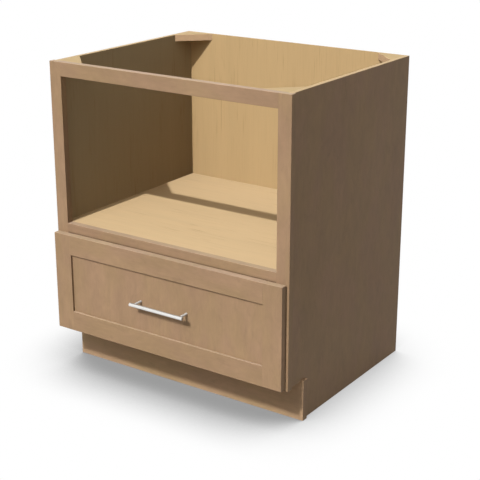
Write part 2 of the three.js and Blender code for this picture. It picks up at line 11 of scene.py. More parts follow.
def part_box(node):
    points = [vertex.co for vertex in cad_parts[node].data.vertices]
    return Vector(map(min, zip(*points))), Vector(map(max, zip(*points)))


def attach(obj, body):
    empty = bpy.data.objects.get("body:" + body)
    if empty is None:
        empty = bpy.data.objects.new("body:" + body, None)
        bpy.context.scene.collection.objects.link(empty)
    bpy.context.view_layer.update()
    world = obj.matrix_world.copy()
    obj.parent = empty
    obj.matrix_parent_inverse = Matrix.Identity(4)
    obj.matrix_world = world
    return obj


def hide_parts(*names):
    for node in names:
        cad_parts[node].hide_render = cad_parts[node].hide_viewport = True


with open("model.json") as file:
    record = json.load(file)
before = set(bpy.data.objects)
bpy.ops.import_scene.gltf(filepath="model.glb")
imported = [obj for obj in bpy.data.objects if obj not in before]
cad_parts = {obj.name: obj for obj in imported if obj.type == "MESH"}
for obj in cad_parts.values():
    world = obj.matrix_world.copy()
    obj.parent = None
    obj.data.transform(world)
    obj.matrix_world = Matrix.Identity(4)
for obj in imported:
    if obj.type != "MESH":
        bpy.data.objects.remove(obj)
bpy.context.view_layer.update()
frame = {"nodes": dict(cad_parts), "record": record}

MM = 0.001
MERGE = 0.001 * MM
SIDES = (("left", -1), ("right", 1))
BODY = {node: body for body, nodes in frame["record"]["behaviour"]["bodies"].items() for node in nodes}

# ---------------------------------------------------------------- camera and light

CAMERA_PLACE = Vector((1.80475, -2.55832, 1.44788))
CAMERA_LOOK = Vector((-0.53596, 0.77863, -0.32630))
CAMERA_LENS = 88.4

SUN_WAY = Vector((0, 1, -1.2))
SUN_ON_FRONT = 1.72
SUN_WIDTH = math.radians(0.9)
TOE_SUN_WAY = Vector((-0.03, 1, -1.1))
TOE_SUN_ON_FRONT = 1.33
TOE_SUN_WIDTH = math.radians(4)
PULL_SUN_WAY = Vector((0, 1, -0.84))
PULL_SUN_WIDTH = math.radians(8)
SKY_COLOUR = (0.235, 0.232, 0.228)
SOFT_BOX_WAY = Vector((0, -1, 1.12)).normalized()
SOFT_BOX_GLOW = 16.3
SOFT_BOX_FALL = 30

FLOOR_SIZE = 60
FLOOR_ALBEDO = 0.55
FLOOR_DARKEST = 0.33
FLOOR_SHADOW_REACH = 0.26
FLOOR_SHADOW_LEAN = 0.15
FLOOR_SHADOW_RANGE = (0.3, 0.97)


def keep(thing):
    """Puts a new object in the scene."""
    bpy.context.scene.collection.objects.link(thing)
    return thing


def add_camera():
    lens = bpy.data.cameras.new("camera")
    lens.lens = CAMERA_LENS
    lens.sensor_width = 36
    camera = keep(bpy.data.objects.new("camera", lens))
    camera.location = CAMERA_PLACE
    camera.rotation_euler = CAMERA_LOOK.to_track_quat("-Z", "Y").to_euler()
    bpy.context.scene.camera = camera


def add_sun(name, way, on_front, width):
    """A far lamp that shines one way, and so hard on the upright fronts."""
    light = bpy.data.lights.new(name, "SUN")
    light.energy = on_front * way.length
    light.angle = width
    light.cycles.max_bounces = 0
    sun = keep(bpy.data.objects.new(name, light))
    sun.rotation_euler = way.to_track_quat("-Z", "Y").to_euler()
    return sun


def light_only(sun, pieces):
    """Keeps a lamp to some pieces."""
    lit = bpy.data.collections.new(sun.name)
    for piece in pieces:
        lit.objects.link(piece)
    sun.light_linking.receiver_collection = lit


def add_suns(pieces, toe, panel):
    """The photo's shadows fall short on the toe board and under the pull, so both have their own sun."""
    rest = [piece for piece in pieces if piece not in (toe, panel)]
    light_only(add_sun("sun", SUN_WAY, SUN_ON_FRONT, SUN_WIDTH), rest)
    light_only(add_sun("toe_sun", TOE_SUN_WAY, TOE_SUN_ON_FRONT, TOE_SUN_WIDTH), [toe])
    light_only(add_sun("pull_sun", PULL_SUN_WAY, SUN_ON_FRONT, PULL_SUN_WIDTH), [panel])


# ---------------------------------------------------------------- shader maths


class Number:
    """A shader socket that holds a number. Python's operators on it add Math nodes."""

    def __init__(self, paint, socket):
        self.paint = paint
        self.socket = socket

    def maths(self, operation, first, second=0.0):
        return self.paint.number("ShaderNodeMath", {"operation": operation}, {0: first, 1: second})

    def __add__(self, other):
        return self.maths("ADD", self, other)

    def __radd__(self, other):
        return self.maths("ADD", other, self)

    def __sub__(self, other):
        return self.maths("SUBTRACT", self, other)

    def __rsub__(self, other):
        return self.maths("SUBTRACT", other, self)

    def __mul__(self, other):
        return self.maths("MULTIPLY", self, other)

    def __rmul__(self, other):
        return self.maths("MULTIPLY", other, self)

    def most(self, other):
        return self.maths("MAXIMUM", self, other)

    def least(self, other):
        return self.maths("MINIMUM", self, other)

    def part(self):
        """What is left beside the whole number."""
        return self.maths("FRACT", self)

    def clamped(self):
        return self.most(0.0).least(1.0)

    def rise(self, low, high):
        """0 up to low, 1 from high, and smooth between them."""
        values = {"Value": self, "From Min": low, "From Max": high}
        return self.paint.number("ShaderNodeMapRange", {"interpolation_type": "SMOOTHSTEP"}, values)


class Paint:
    """One material or world and the nodes in it."""

    def __init__(self, owner):
        self.tree = owner.node_tree
        self.tree.nodes.clear()

    def node(self, kind, settings=None, values=None):
        """A node: its settings are made first, and then its sockets get their values or links."""
        node = self.tree.nodes.new(kind)
        for name, setting in (settings or {}).items():
            setattr(node, name, setting)
        for name, value in (values or {}).items():
            if isinstance(value, Number):
                value = value.socket
            if isinstance(value, bpy.types.NodeSocket):
                self.tree.links.new(value, node.inputs[name])
            else:
                node.inputs[name].default_value = value
        return node

    def number(self, kind, settings, values, output=0):
        return Number(self, self.node(kind, settings, values).outputs[output])

    def mix(self, factor, first, second):
        """A colour between two others."""
        values = {0: factor, 6: opaque(first), 7: opaque(second)}
        return self.node("ShaderNodeMix", {"data_type": "RGBA"}, values).outputs[2]

    def tint(self, colour, lift):
        return self.node("ShaderNodeVectorMath", {"operation": "MULTIPLY"}, {0: colour, 1: lift}).outputs[0]

    def place(self, turn=(0, 0, 0), move=(0, 0, 0)):
        """The piece's own coordinates in metres, turned and then moved."""
        own = self.node("ShaderNodeTexCoord").outputs["Object"]
        values = {"Vector": own, "Rotation": turn, "Location": move}
        return self.node("ShaderNodeMapping", None, values).outputs[0]

    def along(self, axis):
        """How far along x, y or z a point of the piece is, in metres."""
        own = self.node("ShaderNodeTexCoord").outputs["Object"]
        return self.number("ShaderNodeSeparateXYZ", None, {0: own}, axis.upper())

    def noise(self, place, scale, detail=3.0, roughness=0.5, distortion=0.0):
        """Smooth noise, with so many changes in a metre along each axis."""
        scaled = self.node("ShaderNodeVectorMath", {"operation": "MULTIPLY"}, {0: place, 1: scale})
        values = {
            "Vector": scaled.outputs[0],
            "Scale": 1.0,
            "Detail": detail,
            "Roughness": roughness,
            "Distortion": distortion,
        }
        return self.number("ShaderNodeTexNoise", None, values)

    def bump(self, height, depth):
        """Normals for a relief of a height from 0 to 1 times the depth in metres."""
        return self.node("ShaderNodeBump", None, {"Height": height, "Distance": depth}).outputs[0]

    def principled(self, **values):
        """Ends the tree in a Principled shader. Underscores in a name stand for spaces."""
        sockets = {name.replace("_", " "): value for name, value in values.items()}
        self.end(self.node("ShaderNodeBsdfPrincipled", None, sockets))

    def seen(self):
        """1 for rays from the camera, a mirror or glass, and 0 for rays that carry light."""
        path = self.node("ShaderNodeLightPath")
        camera, glossy, through = (
            Number(self, path.outputs[f"Is {kind} Ray"]) for kind in ("Camera", "Glossy", "Transmission")
        )
        return camera.most(glossy).most(through)

    def end(self, shader, kind="Material"):
        out = self.node(f"ShaderNodeOutput{kind}")
        self.tree.links.new(shader.outputs[0], out.inputs["Surface"])


def opaque(colour):
    return (*colour, 1) if isinstance(colour, tuple) else colour


def srgb(*channels):
    """A colour as read off a screen, made linear."""
    values = (channel / 255 for channel in channels)
    return tuple(v / 12.92 if v <= 0.04045 else ((v + 0.055) / 1.055) ** 2.4 for v in values)


def shade(colour, factor):
    return tuple(channel * factor for channel in colour)


def new_material(name):
    material = bpy.data.materials.new(name)
    material.use_nodes = True
    return material, Paint(material)


# ---------------------------------------------------------------- backdrop


def add_world():
    """Even light on the object, a soft box in front of it, and plain white behind it."""
    world = bpy.data.worlds.new("world")
    world.use_nodes = True
    bpy.context.scene.world = world
    paint = Paint(world)
    way = paint.node("ShaderNodeTexCoord").outputs["Generated"]
    dot = {0: way, 1: SOFT_BOX_WAY}
    towards = paint.number("ShaderNodeVectorMath", {"operation": "DOT_PRODUCT"}, dot, "Value").clamped()
    glow = 1 + SOFT_BOX_GLOW * towards.maths("POWER", towards, SOFT_BOX_FALL)
    sky = paint.node("ShaderNodeBackground", None, {"Color": opaque(SKY_COLOUR), "Strength": glow})
    white = paint.node("ShaderNodeBackground", None, {"Color": (1, 1, 1, 1), "Strength": 1.0})
    values = {0: paint.seen(), 1: sky.outputs[0], 2: white.outputs[0]}
    paint.end(paint.node("ShaderNodeMixShader", None, values), "World")


def floor_paint():
    """White to the eye but for a painted soft shadow round the object, and pale grey to the light."""
    material, paint = new_material("floor")
    lean = paint.node("ShaderNodeCombineXYZ", None, {"X": FLOOR_SHADOW_LEAN, "Z": 1.0})
    values = {"Distance": FLOOR_SHADOW_REACH, "Normal": lean.outputs[0]}
    # Painted shadow: the floor's glow is darker where an occlusion test finds the object close by.
    open_sky = paint.number("ShaderNodeAmbientOcclusion", {"samples": 24}, values, "AO")
    brightness = paint.mix(open_sky.rise(*FLOOR_SHADOW_RANGE), (FLOOR_DARKEST,) * 3, (1, 1, 1))
    white = paint.node("ShaderNodeEmission", None, {"Color": brightness, "Strength": 1.0})
    lit = paint.node("ShaderNodeBsdfDiffuse", None, {"Color": opaque((FLOOR_ALBEDO,) * 3)})
    values = {0: paint.seen(), 1: lit.outputs[0], 2: white.outputs[0]}
    paint.end(paint.node("ShaderNodeMixShader", None, values))
    return material


def add_floor():
    shape = bmesh.new()
    bmesh.ops.create_grid(shape, x_segments=1, y_segments=1, size=FLOOR_SIZE / 2)
    mesh = bpy.data.meshes.new("floor")
    shape.to_mesh(mesh)
    shape.free()
    mesh.materials.append(floor_paint())
    keep(bpy.data.objects.new("floor", mesh))


# ---------------------------------------------------------------- wood finishes

# The turn that lays an axis of the piece along x, where every grain pattern runs.
RUN = {"x": (0, 0, 0), "y": (0, 0, -math.pi / 2), "z": (0, math.pi / 2, 0)}

MAPLE_STAIN = srgb(171, 140, 109)
MAPLE_STAIN_RED = srgb(172, 140, 111)
MAPLE_STAIN_GOLD = srgb(171, 141, 108)
MAPLE_PRINT = srgb(206, 175, 128)
# Painted light: the shelf's print is paler and less saturated than the back's, as a lit upward face; the
# cabinet floor and the drawer bottom share it.
MAPLE_SHELF_PAINTED_LIGHT = srgb(219, 190, 147)
# Painted shade: the inner walls' print is darker and greyer than the back's.
MAPLE_WALL_PAINTED_SHADE = srgb(187, 166, 130)
MAPLE_BARE = srgb(219, 191, 148)
MAPLE_BRACE = srgb(203, 176, 131)
# Painted light: the braces' ply edges are paler than bare maple, as their lit front edges look.
MAPLE_BRACE_EDGE_PAINTED_LIGHT = srgb(230, 193, 152)
MAPLE_LINE = srgb(152, 112, 68)
MAPLE_DRAWER = srgb(217, 188, 146)
# Painted light: the upward faces of the stained boards are made paler, as light falls on them.
UPPER_PAINTED_LIGHT = (1.22, 1.34, 1.53)
# Painted light: the toe board's face is made paler, to lift the shade under the drawer front.
TOE_PAINTED_LIGHT = (1.45, 1.5, 1.5)
# Painted shade: an occlusion test darkens a stained colour beside narrow gaps, such as above the drawer
# front.
GAP_REACH = 6 * MM
GAP_RANGE = (0.6, 0.95)
GAP_PAINTED_SHADE = 0.6
WOOD_SPECULAR = 0.12
PLY = 1.6 * MM

# How far the pattern moves from one board to the next.
SEED_STEP = (3.7, 1.3, 2.1)


def grain_place(paint, run, seed):
    """A board's coordinates with its grain along x, in a part of the pattern that is its own."""
    return paint.place(RUN[run], tuple(step * seed for step in SEED_STEP))


def stained(name, run, seed, lift=(1, 1, 1), painted_gap_shade=0.0):
    """Maple under a brown stain and satin varnish, clouded where the stain soaked in.

    Lift makes it paler: painted light, as on its upper faces and the toe board's face. Painted gap shade
    darkens it beside a narrow gap, where shade falls.
    """
    material, paint = new_material(name)
    place = grain_place(paint, run, seed)
    drift = paint.noise(place, (4, 9, 9), detail=2)
    cloud = paint.noise(place, (15, 30, 30), detail=4, roughness=0.6, distortion=0.6)
    curl = paint.noise(place, (30, 90, 90), detail=3, distortion=1.0)
    streak = paint.noise(place, (8, 240, 240), detail=3, roughness=0.6)
    fibre = paint.noise(place, (40, 1100, 1100), detail=2)
    smudge = paint.noise(place, (16, 42, 42), detail=4, distortion=1.2).rise(0.6, 0.74)
    tone = 0.5 + 0.7 * (drift - 0.5) + 0.9 * (cloud - 0.5) + 0.5 * (curl - 0.5)
    tone = (tone + 0.35 * (streak - 0.5) + 0.2 * (fibre - 0.5)).clamped()
    red = paint.noise(place, (6, 14, 14), detail=3).rise(0.35, 0.65)
    dark = paint.mix(red, shade(MAPLE_STAIN_GOLD, 0.84), shade(MAPLE_STAIN_RED, 0.84))
    light = paint.mix(red, shade(MAPLE_STAIN_GOLD, 1.19), shade(MAPLE_STAIN_RED, 1.19))
    colour = paint.mix(0.16 * smudge, paint.mix(tone, dark, light), shade(MAPLE_STAIN, 0.5))
    colour = paint.tint(colour, lift)
    if painted_gap_shade:
        # Painted shade: the colour is darker where an occlusion test finds a narrow gap close by.
        near_gap = paint.number("ShaderNodeAmbientOcclusion", {"samples": 8}, {"Distance": GAP_REACH}, "AO")
        colour = paint.mix(painted_gap_shade * (1 - near_gap.rise(*GAP_RANGE)), colour, shade(MAPLE_STAIN, 0.25))
    paint.principled(
        Base_Color=colour,
        Roughness=0.5 + 0.15 * (cloud - 0.5),
        Specular_IOR_Level=WOOD_SPECULAR,
        Normal=paint.bump(0.5 * fibre + 0.5 * streak, 0.00003),
    )
    return material


def printed(name, run, seed, colour=MAPLE_PRINT):
    """Pale maple with fine dark lines in drifts along the grain, under a smooth clear film."""
    material, paint = new_material(name)
    place = grain_place(paint, run, seed)
    board = paint.noise(place, (0.7, 8, 8), detail=2)
    band = paint.noise(place, (2.2, 30, 30), detail=3, distortion=0.4)
    drift = paint.noise(place, (5, 20, 20), detail=3, distortion=0.5).rise(0.5, 0.66)
    line = paint.noise(place, (9, 330, 330), detail=3, roughness=0.55).rise(0.53, 0.68)
    fibre = paint.noise(place, (20, 800, 800), detail=2)
    tone = 0.5 + 0.35 * (board - 0.5) + 0.4 * (band - 0.5) + 0.25 * (fibre - 0.5)
    shown = paint.mix(tone.clamped(), shade(colour, 0.86), shade(colour, 1.14))
    shown = paint.mix((0.06 + 0.27 * drift) * line, shown, MAPLE_LINE)
    paint.principled(
        Base_Color=shown,
        Roughness=0.45 + 0.1 * (band - 0.5),
        Specular_IOR_Level=WOOD_SPECULAR,
        Normal=paint.bump(fibre, 0.00001),
    )
    return material


def sanded(name, run, seed, colour=MAPLE_BARE, roughness=0.65):
    """Plain maple as it comes off the sander."""
    material, paint = new_material(name)
    place = grain_place(paint, run, seed)
    band = paint.noise(place, (1.6, 45, 45), detail=3, distortion=0.5)
    streak = paint.noise(place, (7, 260, 260), detail=3)
    fibre = paint.noise(place, (30, 1100, 1100), detail=2)
    fleck = paint.noise(place, (60, 420, 420), detail=2).rise(0.64, 0.74)
    tone = 0.5 + 0.8 * (band - 0.5) + 0.6 * (streak - 0.5) + 0.4 * (fibre - 0.5)
    shown = paint.mix(tone.clamped(), shade(colour, 0.84), shade(colour, 1.1))
    shown = paint.mix(0.25 * fleck, shown, shade(colour, 0.6))
    paint.principled(
        Base_Color=shown,
        Roughness=roughness + 0.15 * (fibre - 0.5),
        Specular_IOR_Level=WOOD_SPECULAR,
        Normal=paint.bump(0.5 * fibre + 0.5 * streak, 0.00004),
    )
    return material


def end_grain(name, run, seed, colour):
    """Sawn across the fibres: darker, with pores and growth rings cut straight across."""
    material, paint = new_material(name)
    place = grain_place(paint, run, seed)
    ring = paint.noise(place, (3, 260, 40), detail=3, distortion=0.6)
    pore = paint.noise(place, (1500, 1500, 1500), detail=2)
    tone = 0.5 + 1.1 * (ring - 0.5) + 0.8 * (pore - 0.5)
    paint.principled(
        Base_Color=paint.mix(tone.clamped(), shade(colour, 0.62), shade(colour, 0.9)),
        Roughness=0.6 + 0.2 * (pore - 0.5),
        Specular_IOR_Level=WOOD_SPECULAR,
        Normal=paint.bump(pore, 0.00006),
    )
    return material


def ply_edge(name, across, start, thickness, colour):
    """The sanded edge of plywood: plies that show their fibres and their ends by turns."""
    material, paint = new_material(name)
    plies = 2 * round(thickness / PLY / 2) + 1
    place = paint.place()
    pair = ((paint.along(across) - start) * (plies / thickness / 2)).part()
    ends = pair.rise(0.47, 0.5) - pair.rise(0.97, 1.0)
    glue = 1 - pair.rise(0.02, 0.05) + pair.rise(0.46, 0.49) - pair.rise(0.51, 0.54)
    pore = paint.noise(place, (1100, 1100, 1100), detail=2)
    drift = paint.noise(place, (60, 60, 60), detail=3)
    tone = 0.5 + 0.9 * (pore - 0.5) + 0.5 * (drift - 0.5)
    shown = paint.mix(tone.clamped(), shade(colour, 0.86), shade(colour, 1.08))
    shown = paint.mix(0.35 * ends, shown, shade(colour, 0.55))
    shown = paint.mix(0.3 * glue.clamped(), shown, shade(colour, 0.4))
    paint.principled(
        Base_Color=shown,
        Roughness=0.7 + 0.15 * (pore - 0.5),
        Specular_IOR_Level=WOOD_SPECULAR,
        Normal=paint.bump(0.5 * pore - 0.5 * ends, 0.00008),
    )
    return material


# ---------------------------------------------------------------- metal and rubber


def zinc(name):
    """Zinc-plated steel strip: cool, a little cloudy, with fine marks from the rolls."""
    material, paint = new_material(name)
    place = paint.place(RUN["y"])
    cloud = paint.noise(place, (25, 60, 60), detail=4, roughness=0.6)
    scratch = paint.noise(place, (12, 2200, 2200), detail=2)
    tone = (0.5 + 0.9 * (cloud - 0.5) + 0.5 * (scratch - 0.5)).clamped()
    paint.principled(
        Base_Color=paint.mix(tone, (0.42, 0.43, 0.45), (0.66, 0.67, 0.69)),
        Metallic=1.0,
        Roughness=0.3 + 0.2 * (cloud - 0.5) + 0.1 * (scratch - 0.5),
        Normal=paint.bump(scratch, 0.00001),
    )
    return material


def nickel(name, run, metallic):
    """Brushed nickel under clear lacquer, with the fine lines of the brush along one axis."""
    material, paint = new_material(name)
    place = paint.place(RUN[run])
    brush = paint.noise(place, (40, 3500, 3500), detail=3, roughness=0.6)
    cloud = paint.noise(place, (60, 60, 60), detail=2)
    tone = (0.5 + 0.5 * (brush - 0.5) + 0.4 * (cloud - 0.5)).clamped()
    paint.principled(
        Base_Color=paint.mix(tone, (0.7, 0.69, 0.66), (0.86, 0.85, 0.82)),
        Metallic=metallic,
        Roughness=0.3 + 0.12 * (brush - 0.5),
        Normal=paint.bump(brush, 0.00001),
    )
    return material


def polished(name):
    """Hard bearing steel, ground bright, with a trace of oil."""
    material, paint = new_material(name)
    oil = paint.noise(paint.place(), (400, 400, 400), detail=2)
    paint.principled(
        Base_Color=paint.mix(oil, (0.55, 0.55, 0.56), (0.72, 0.72, 0.72)),
        Metallic=1.0,
        Roughness=0.12 + 0.12 * oil,
    )
    return material


def rubber(name):
    """Clear soft rubber, a little cloudy."""
    material, paint = new_material(name)
    cloud = paint.noise(paint.place(), (300, 300, 300), detail=2)
    paint.principled(
        Base_Color=paint.mix(cloud, (0.7, 0.7, 0.68), (0.85, 0.85, 0.83)),
        Roughness=0.3 + 0.15 * (cloud - 0.5),
        Transmission_Weight=0.6,
        IOR=1.45,
    )
    return material


# ---------------------------------------------------------------- making pieces

FRAME_ARRIS = 1.0 * MM
BOX_ARRIS = 1.4 * MM
SHEET_ARRIS = 0.5 * MM
JOINT_ARRIS = 0.15 * MM
JOINT_GAP = 0.6 * MM
SHARP = math.radians(30)


def copied(node):
    """A CAD node's shape, with its loose triangles merged and its flat faces made whole."""
    shape = bmesh.new()
    shape.from_mesh(frame["nodes"][node].data)
    bmesh.ops.remove_doubles(shape, verts=shape.verts, dist=MERGE)
    bmesh.ops.dissolve_limit(shape, angle_limit=math.radians(1), verts=shape.verts, edges=shape.edges)
    return shape


def finished(shape, name, slot, materials, *nodes):
    """Makes a shape a piece of the scene that stands for the CAD nodes and moves with them."""
    mesh = bpy.data.meshes.new(name)
    shape.to_mesh(mesh)
    shape.free()
    for material in materials:
        mesh.materials.append(material)
    piece = keep(bpy.data.objects.new(name, mesh))
    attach(piece, BODY[nodes[0]])
    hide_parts(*nodes)
    return piece


def smooth_arrises(piece, width):
    """Rounds the weighted edges, and keeps the flat faces flat in the shading."""
    bevel = piece.modifiers.new("arrises", "BEVEL")
    bevel.limit_method = "WEIGHT"
    bevel.width = width
    bevel.segments = 3
    bevel.use_clamp_overlap = False
    normals = piece.modifiers.new("normals", "WEIGHTED_NORMAL")
    normals.keep_sharp = True


def near(node, others):
    """The nodes whose boxes touch this node's box."""
    low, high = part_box(node)
    found = []
    for other in others:
        start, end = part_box(other)
        apart = (max(start[i] - high[i], low[i] - end[i]) for i in range(3))
        if other != node and max(apart) < JOINT_GAP:
            found.append(other)
    return found


def cut_at(shape, point, normal):
    """Cuts all faces along a plane, and leaves them joined."""
    parts = shape.verts[:] + shape.edges[:] + shape.faces[:]
    bmesh.ops.bisect_plane(shape, geom=parts, dist=MERGE, plane_co=point, plane_no=normal)


def mark_arrises(shape, mates, width):
    """Weights each outer edge for the bevel: full where it is free, and a hairline in a joint."""
    for mate in mates:
        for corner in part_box(mate):
            for axis in range(3):
                cut_at(shape, corner, Matrix.Identity(3)[axis])
    trees = []
    for mate in mates:
        solid = copied(mate)
        trees.append(BVHTree.FromBMesh(solid))
        solid.free()
    weights = shape.edges.layers.float.new("bevel_weight_edge")
    for edge in shape.edges:
        angle = edge.calc_face_angle(0)
        edge.smooth = angle < SHARP or edge.is_convex
        if angle < SHARP or not edge.is_convex:
            continue
        middle = (edge.verts[0].co + edge.verts[1].co) / 2
        joint = any(tree.find_nearest(middle, JOINT_GAP)[0] for tree in trees)
        edge[weights] = JOINT_ARRIS / width if joint else 1.0
    for face in shape.faces:
        face.smooth = True


def facing(normal):
    """The axis that a face looks along, such as "-y"."""
    axis = max(range(3), key=lambda i: abs(normal[i]))
    return "-+"[normal[axis] > 0] + "xyz"[axis]


# ---------------------------------------------------------------- boards

BOARDS = [
    "frame_stile_left", "frame_stile_right", "top_rail", "mid_rail", "bottom_rail",
    "side_panel_left", "side_panel_right", "back_panel", "microwave_shelf", "cabinet_floor",
    "toe_board", "corner_brace_front_left", "corner_brace_front_right", "corner_brace_back_left",
    "corner_brace_back_right", "front_stile_left", "front_stile_right", "front_rail_top",
    "front_rail_bottom", "front_panel", "box_side_left", "box_side_right", "box_front", "box_back",
    "box_bottom",
]


def board(node, slot, arris, surfaces):
    """A board of wood. Surfaces gives the finish of each side that differs from "rest"."""
    mates = near(node, BOARDS)
    shape = copied(node)
    mark_arrises(shape, mates, arris)
    finishes = list(surfaces)
    for face in shape.faces:
        side = facing(face.normal)
        face.material_index = finishes.index(side if side in surfaces else "rest")
    piece = finished(shape, f"{node}_board", slot, surfaces.values(), node)
    smooth_arrises(piece, arris)
    return piece


def solid_maple(node, run, slot, arris, make, end_colour):
    """A board of solid wood: its finish along the grain, and end grain across it."""
    seed = BOARDS.index(node) + 1
    ends = end_grain(f"{node}_ends", run, seed, end_colour)
    surfaces = {"rest": make(f"{node}_maple", run, seed), "-" + run: ends, "+" + run: ends}
    if slot == "stained_maple":
        # Painted light: the upward faces get a paler copy of the stain.
        surfaces["+z"] = stained(f"{node}_upper_painted_light_maple", run, seed, UPPER_PAINTED_LIGHT)
    return board(node, slot, arris, surfaces)


def ply(node, across, arris, slot, faces, edge_colour=MAPLE_BARE):
    """A board of plywood: a finish on some sides, and its plies on the rest."""
    low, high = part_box(node)
    axis = "xyz".index(across)
    edge = ply_edge(f"{node}_plies", across, low[axis], high[axis] - low[axis], edge_colour)
    return board(node, slot, arris, {"rest": edge, **faces})


def stained_with_painted_gap_shade(name, run, seed):
    return stained(name, run, seed, painted_gap_shade=GAP_PAINTED_SHADE)


def face_frame():
    for node in ("frame_stile_left", "frame_stile_right"):
        solid_maple(node, "z", "stained_maple", FRAME_ARRIS, stained, MAPLE_STAIN)
    for node in ("top_rail", "bottom_rail"):
        solid_maple(node, "x", "stained_maple", FRAME_ARRIS, stained, MAPLE_STAIN)
    # The mid rail's stain carries painted shade beside the gap above the drawer front.
    solid_maple("mid_rail", "x", "stained_maple", FRAME_ARRIS, stained_with_painted_gap_shade, MAPLE_STAIN)


def side_panel(name, side):
    node = f"side_panel_{name}"
    seed = BOARDS.index(node) + 1
    outside, inside = ("+x", "-x") if side > 0 else ("-x", "+x")
    faces = {
        outside: stained(f"{node}_stain", "z", seed),
        # Painted shade: the inner face is printed darker than the back panel.
        inside: printed(f"{node}_print", "z", seed, MAPLE_WALL_PAINTED_SHADE),
    }
    ply(node, "x", SHEET_ARRIS, "stained_maple", faces)


def back_panel():
    seed = BOARDS.index("back_panel") + 1
    faces = {
        "-y": printed("back_panel_print", "z", seed),
        "+y": sanded("back_panel_outside", "z", seed),
    }
    ply("back_panel", "y", SHEET_ARRIS, "maple_laminate", faces)


def level_panel(node):
    """A shelf or a floor, with its grain from side to side."""
    seed = BOARDS.index(node) + 1
    # Painted light: the level panels carry the paler, lit copy of the print.
    surface = printed(f"{node}_print", "x", seed, MAPLE_SHELF_PAINTED_LIGHT)
    ply(node, "z", SHEET_ARRIS, "maple_laminate", {"-z": surface, "+z": surface})


def toe_board():
    """The stained board in the toe space. Its face is painted paler than its edges, a painted light that
    lifts its shade.
    """
    seed = BOARDS.index("toe_board") + 1
    edge = stained("toe_board_stain", "x", seed)
    # Painted light: the face gets a paler copy of the stain.
    face = stained("toe_board_face_painted_light_stain", "x", seed, TOE_PAINTED_LIGHT)
    ply("toe_board", "y", SHEET_ARRIS, "stained_maple", {"-y": face, "+z": edge, "-x": edge, "+x": edge})


def corner_brace(node):
    surface = sanded(f"{node}_maple", "x", BOARDS.index(node) + 1, MAPLE_BRACE)
    # Painted light: the brace's edges use the paler edge colour.
    ply(node, "z", SHEET_ARRIS, "bare_maple", {"-z": surface, "+z": surface}, MAPLE_BRACE_EDGE_PAINTED_LIGHT)


def carcase():
    for name, side in SIDES:
        side_panel(name, side)
        for end in ("front", "back"):
            corner_brace(f"corner_brace_{end}_{name}")
    back_panel()
    level_panel("microwave_shelf")
    level_panel("cabinet_floor")
    toe_board()


def drawer_front():
    for node in ("front_stile_left", "front_stile_right"):
        solid_maple(node, "z", "stained_maple", FRAME_ARRIS, stained, MAPLE_STAIN)
    for node in ("front_rail_top", "front_rail_bottom"):
        solid_maple(node, "x", "stained_maple", FRAME_ARRIS, stained, MAPLE_STAIN)
    solid_maple("front_panel", "z", "stained_maple", SHEET_ARRIS, stained, MAPLE_STAIN)


def drawer_wood(name, run, seed):
    return sanded(name, run, seed, MAPLE_DRAWER, 0.45)


def drawer_box():
    for node in ("box_side_left", "box_side_right"):
        solid_maple(node, "y", "drawer_maple", BOX_ARRIS, drawer_wood, MAPLE_DRAWER)
    for node in ("box_front", "box_back"):
        solid_maple(node, "x", "drawer_maple", BOX_ARRIS, drawer_wood, MAPLE_DRAWER)
    level_panel("box_bottom")


# ---------------------------------------------------------------- turned pieces

# The bar stays this much inside its CAD box, so that rounding never takes it past.
BAR_INSET = 0.001 * MM
BAR_CHAMFER = 0.8 * MM
BAR_METALLIC = 0.7
POST_CHAMFER = 0.25 * MM
POST_METALLIC = 0.15


def turned(profile, start, way, steps):
    """A closed shape spun round a line from start. Profile is (distance along it, radius) pairs."""
    way = Vector(way).normalized()
    out = way.orthogonal().normalized()
    shape = bmesh.new()
    ring = [shape.verts.new(start + way * along + out * radius) for along, radius in profile]
    edges = [shape.edges.new(pair) for pair in zip(ring, ring[1:])]
    bmesh.ops.spin(
        shape, geom=ring + edges, cent=start, axis=way, angle=2 * math.pi, steps=steps, use_merge=True
    )
    bmesh.ops.remove_doubles(shape, verts=shape.verts, dist=MERGE)
    bmesh.ops.recalc_face_normals(shape, faces=shape.faces)
    for face in shape.faces:
        face.smooth = True
    for edge in shape.edges:
        edge.smooth = edge.calc_face_angle(0) < SHARP
    return shape


def pull_bar():
    low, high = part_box("pull_bar")
    radius = (high.z - low.z) / 2 - BAR_INSET
    length = high.x - low.x
    centre = (low + high) / 2
    profile = [
        (0, 0),
        (0, radius - BAR_CHAMFER),
        (0.25 * BAR_CHAMFER, radius - 0.45 * BAR_CHAMFER),
        (BAR_CHAMFER, radius),
        (length - BAR_CHAMFER, radius),
        (length - 0.25 * BAR_CHAMFER, radius - 0.45 * BAR_CHAMFER),
        (length, radius - BAR_CHAMFER),
        (length, 0),
    ]
    start = Vector((low.x, centre.y, centre.z))
    shape = turned(profile, start, (1, 0, 0), 64)
    material = nickel("bar_nickel", "x", BAR_METALLIC)
    finished(shape, "pull_bar_brushed", "brushed_nickel", [material], "pull_bar")


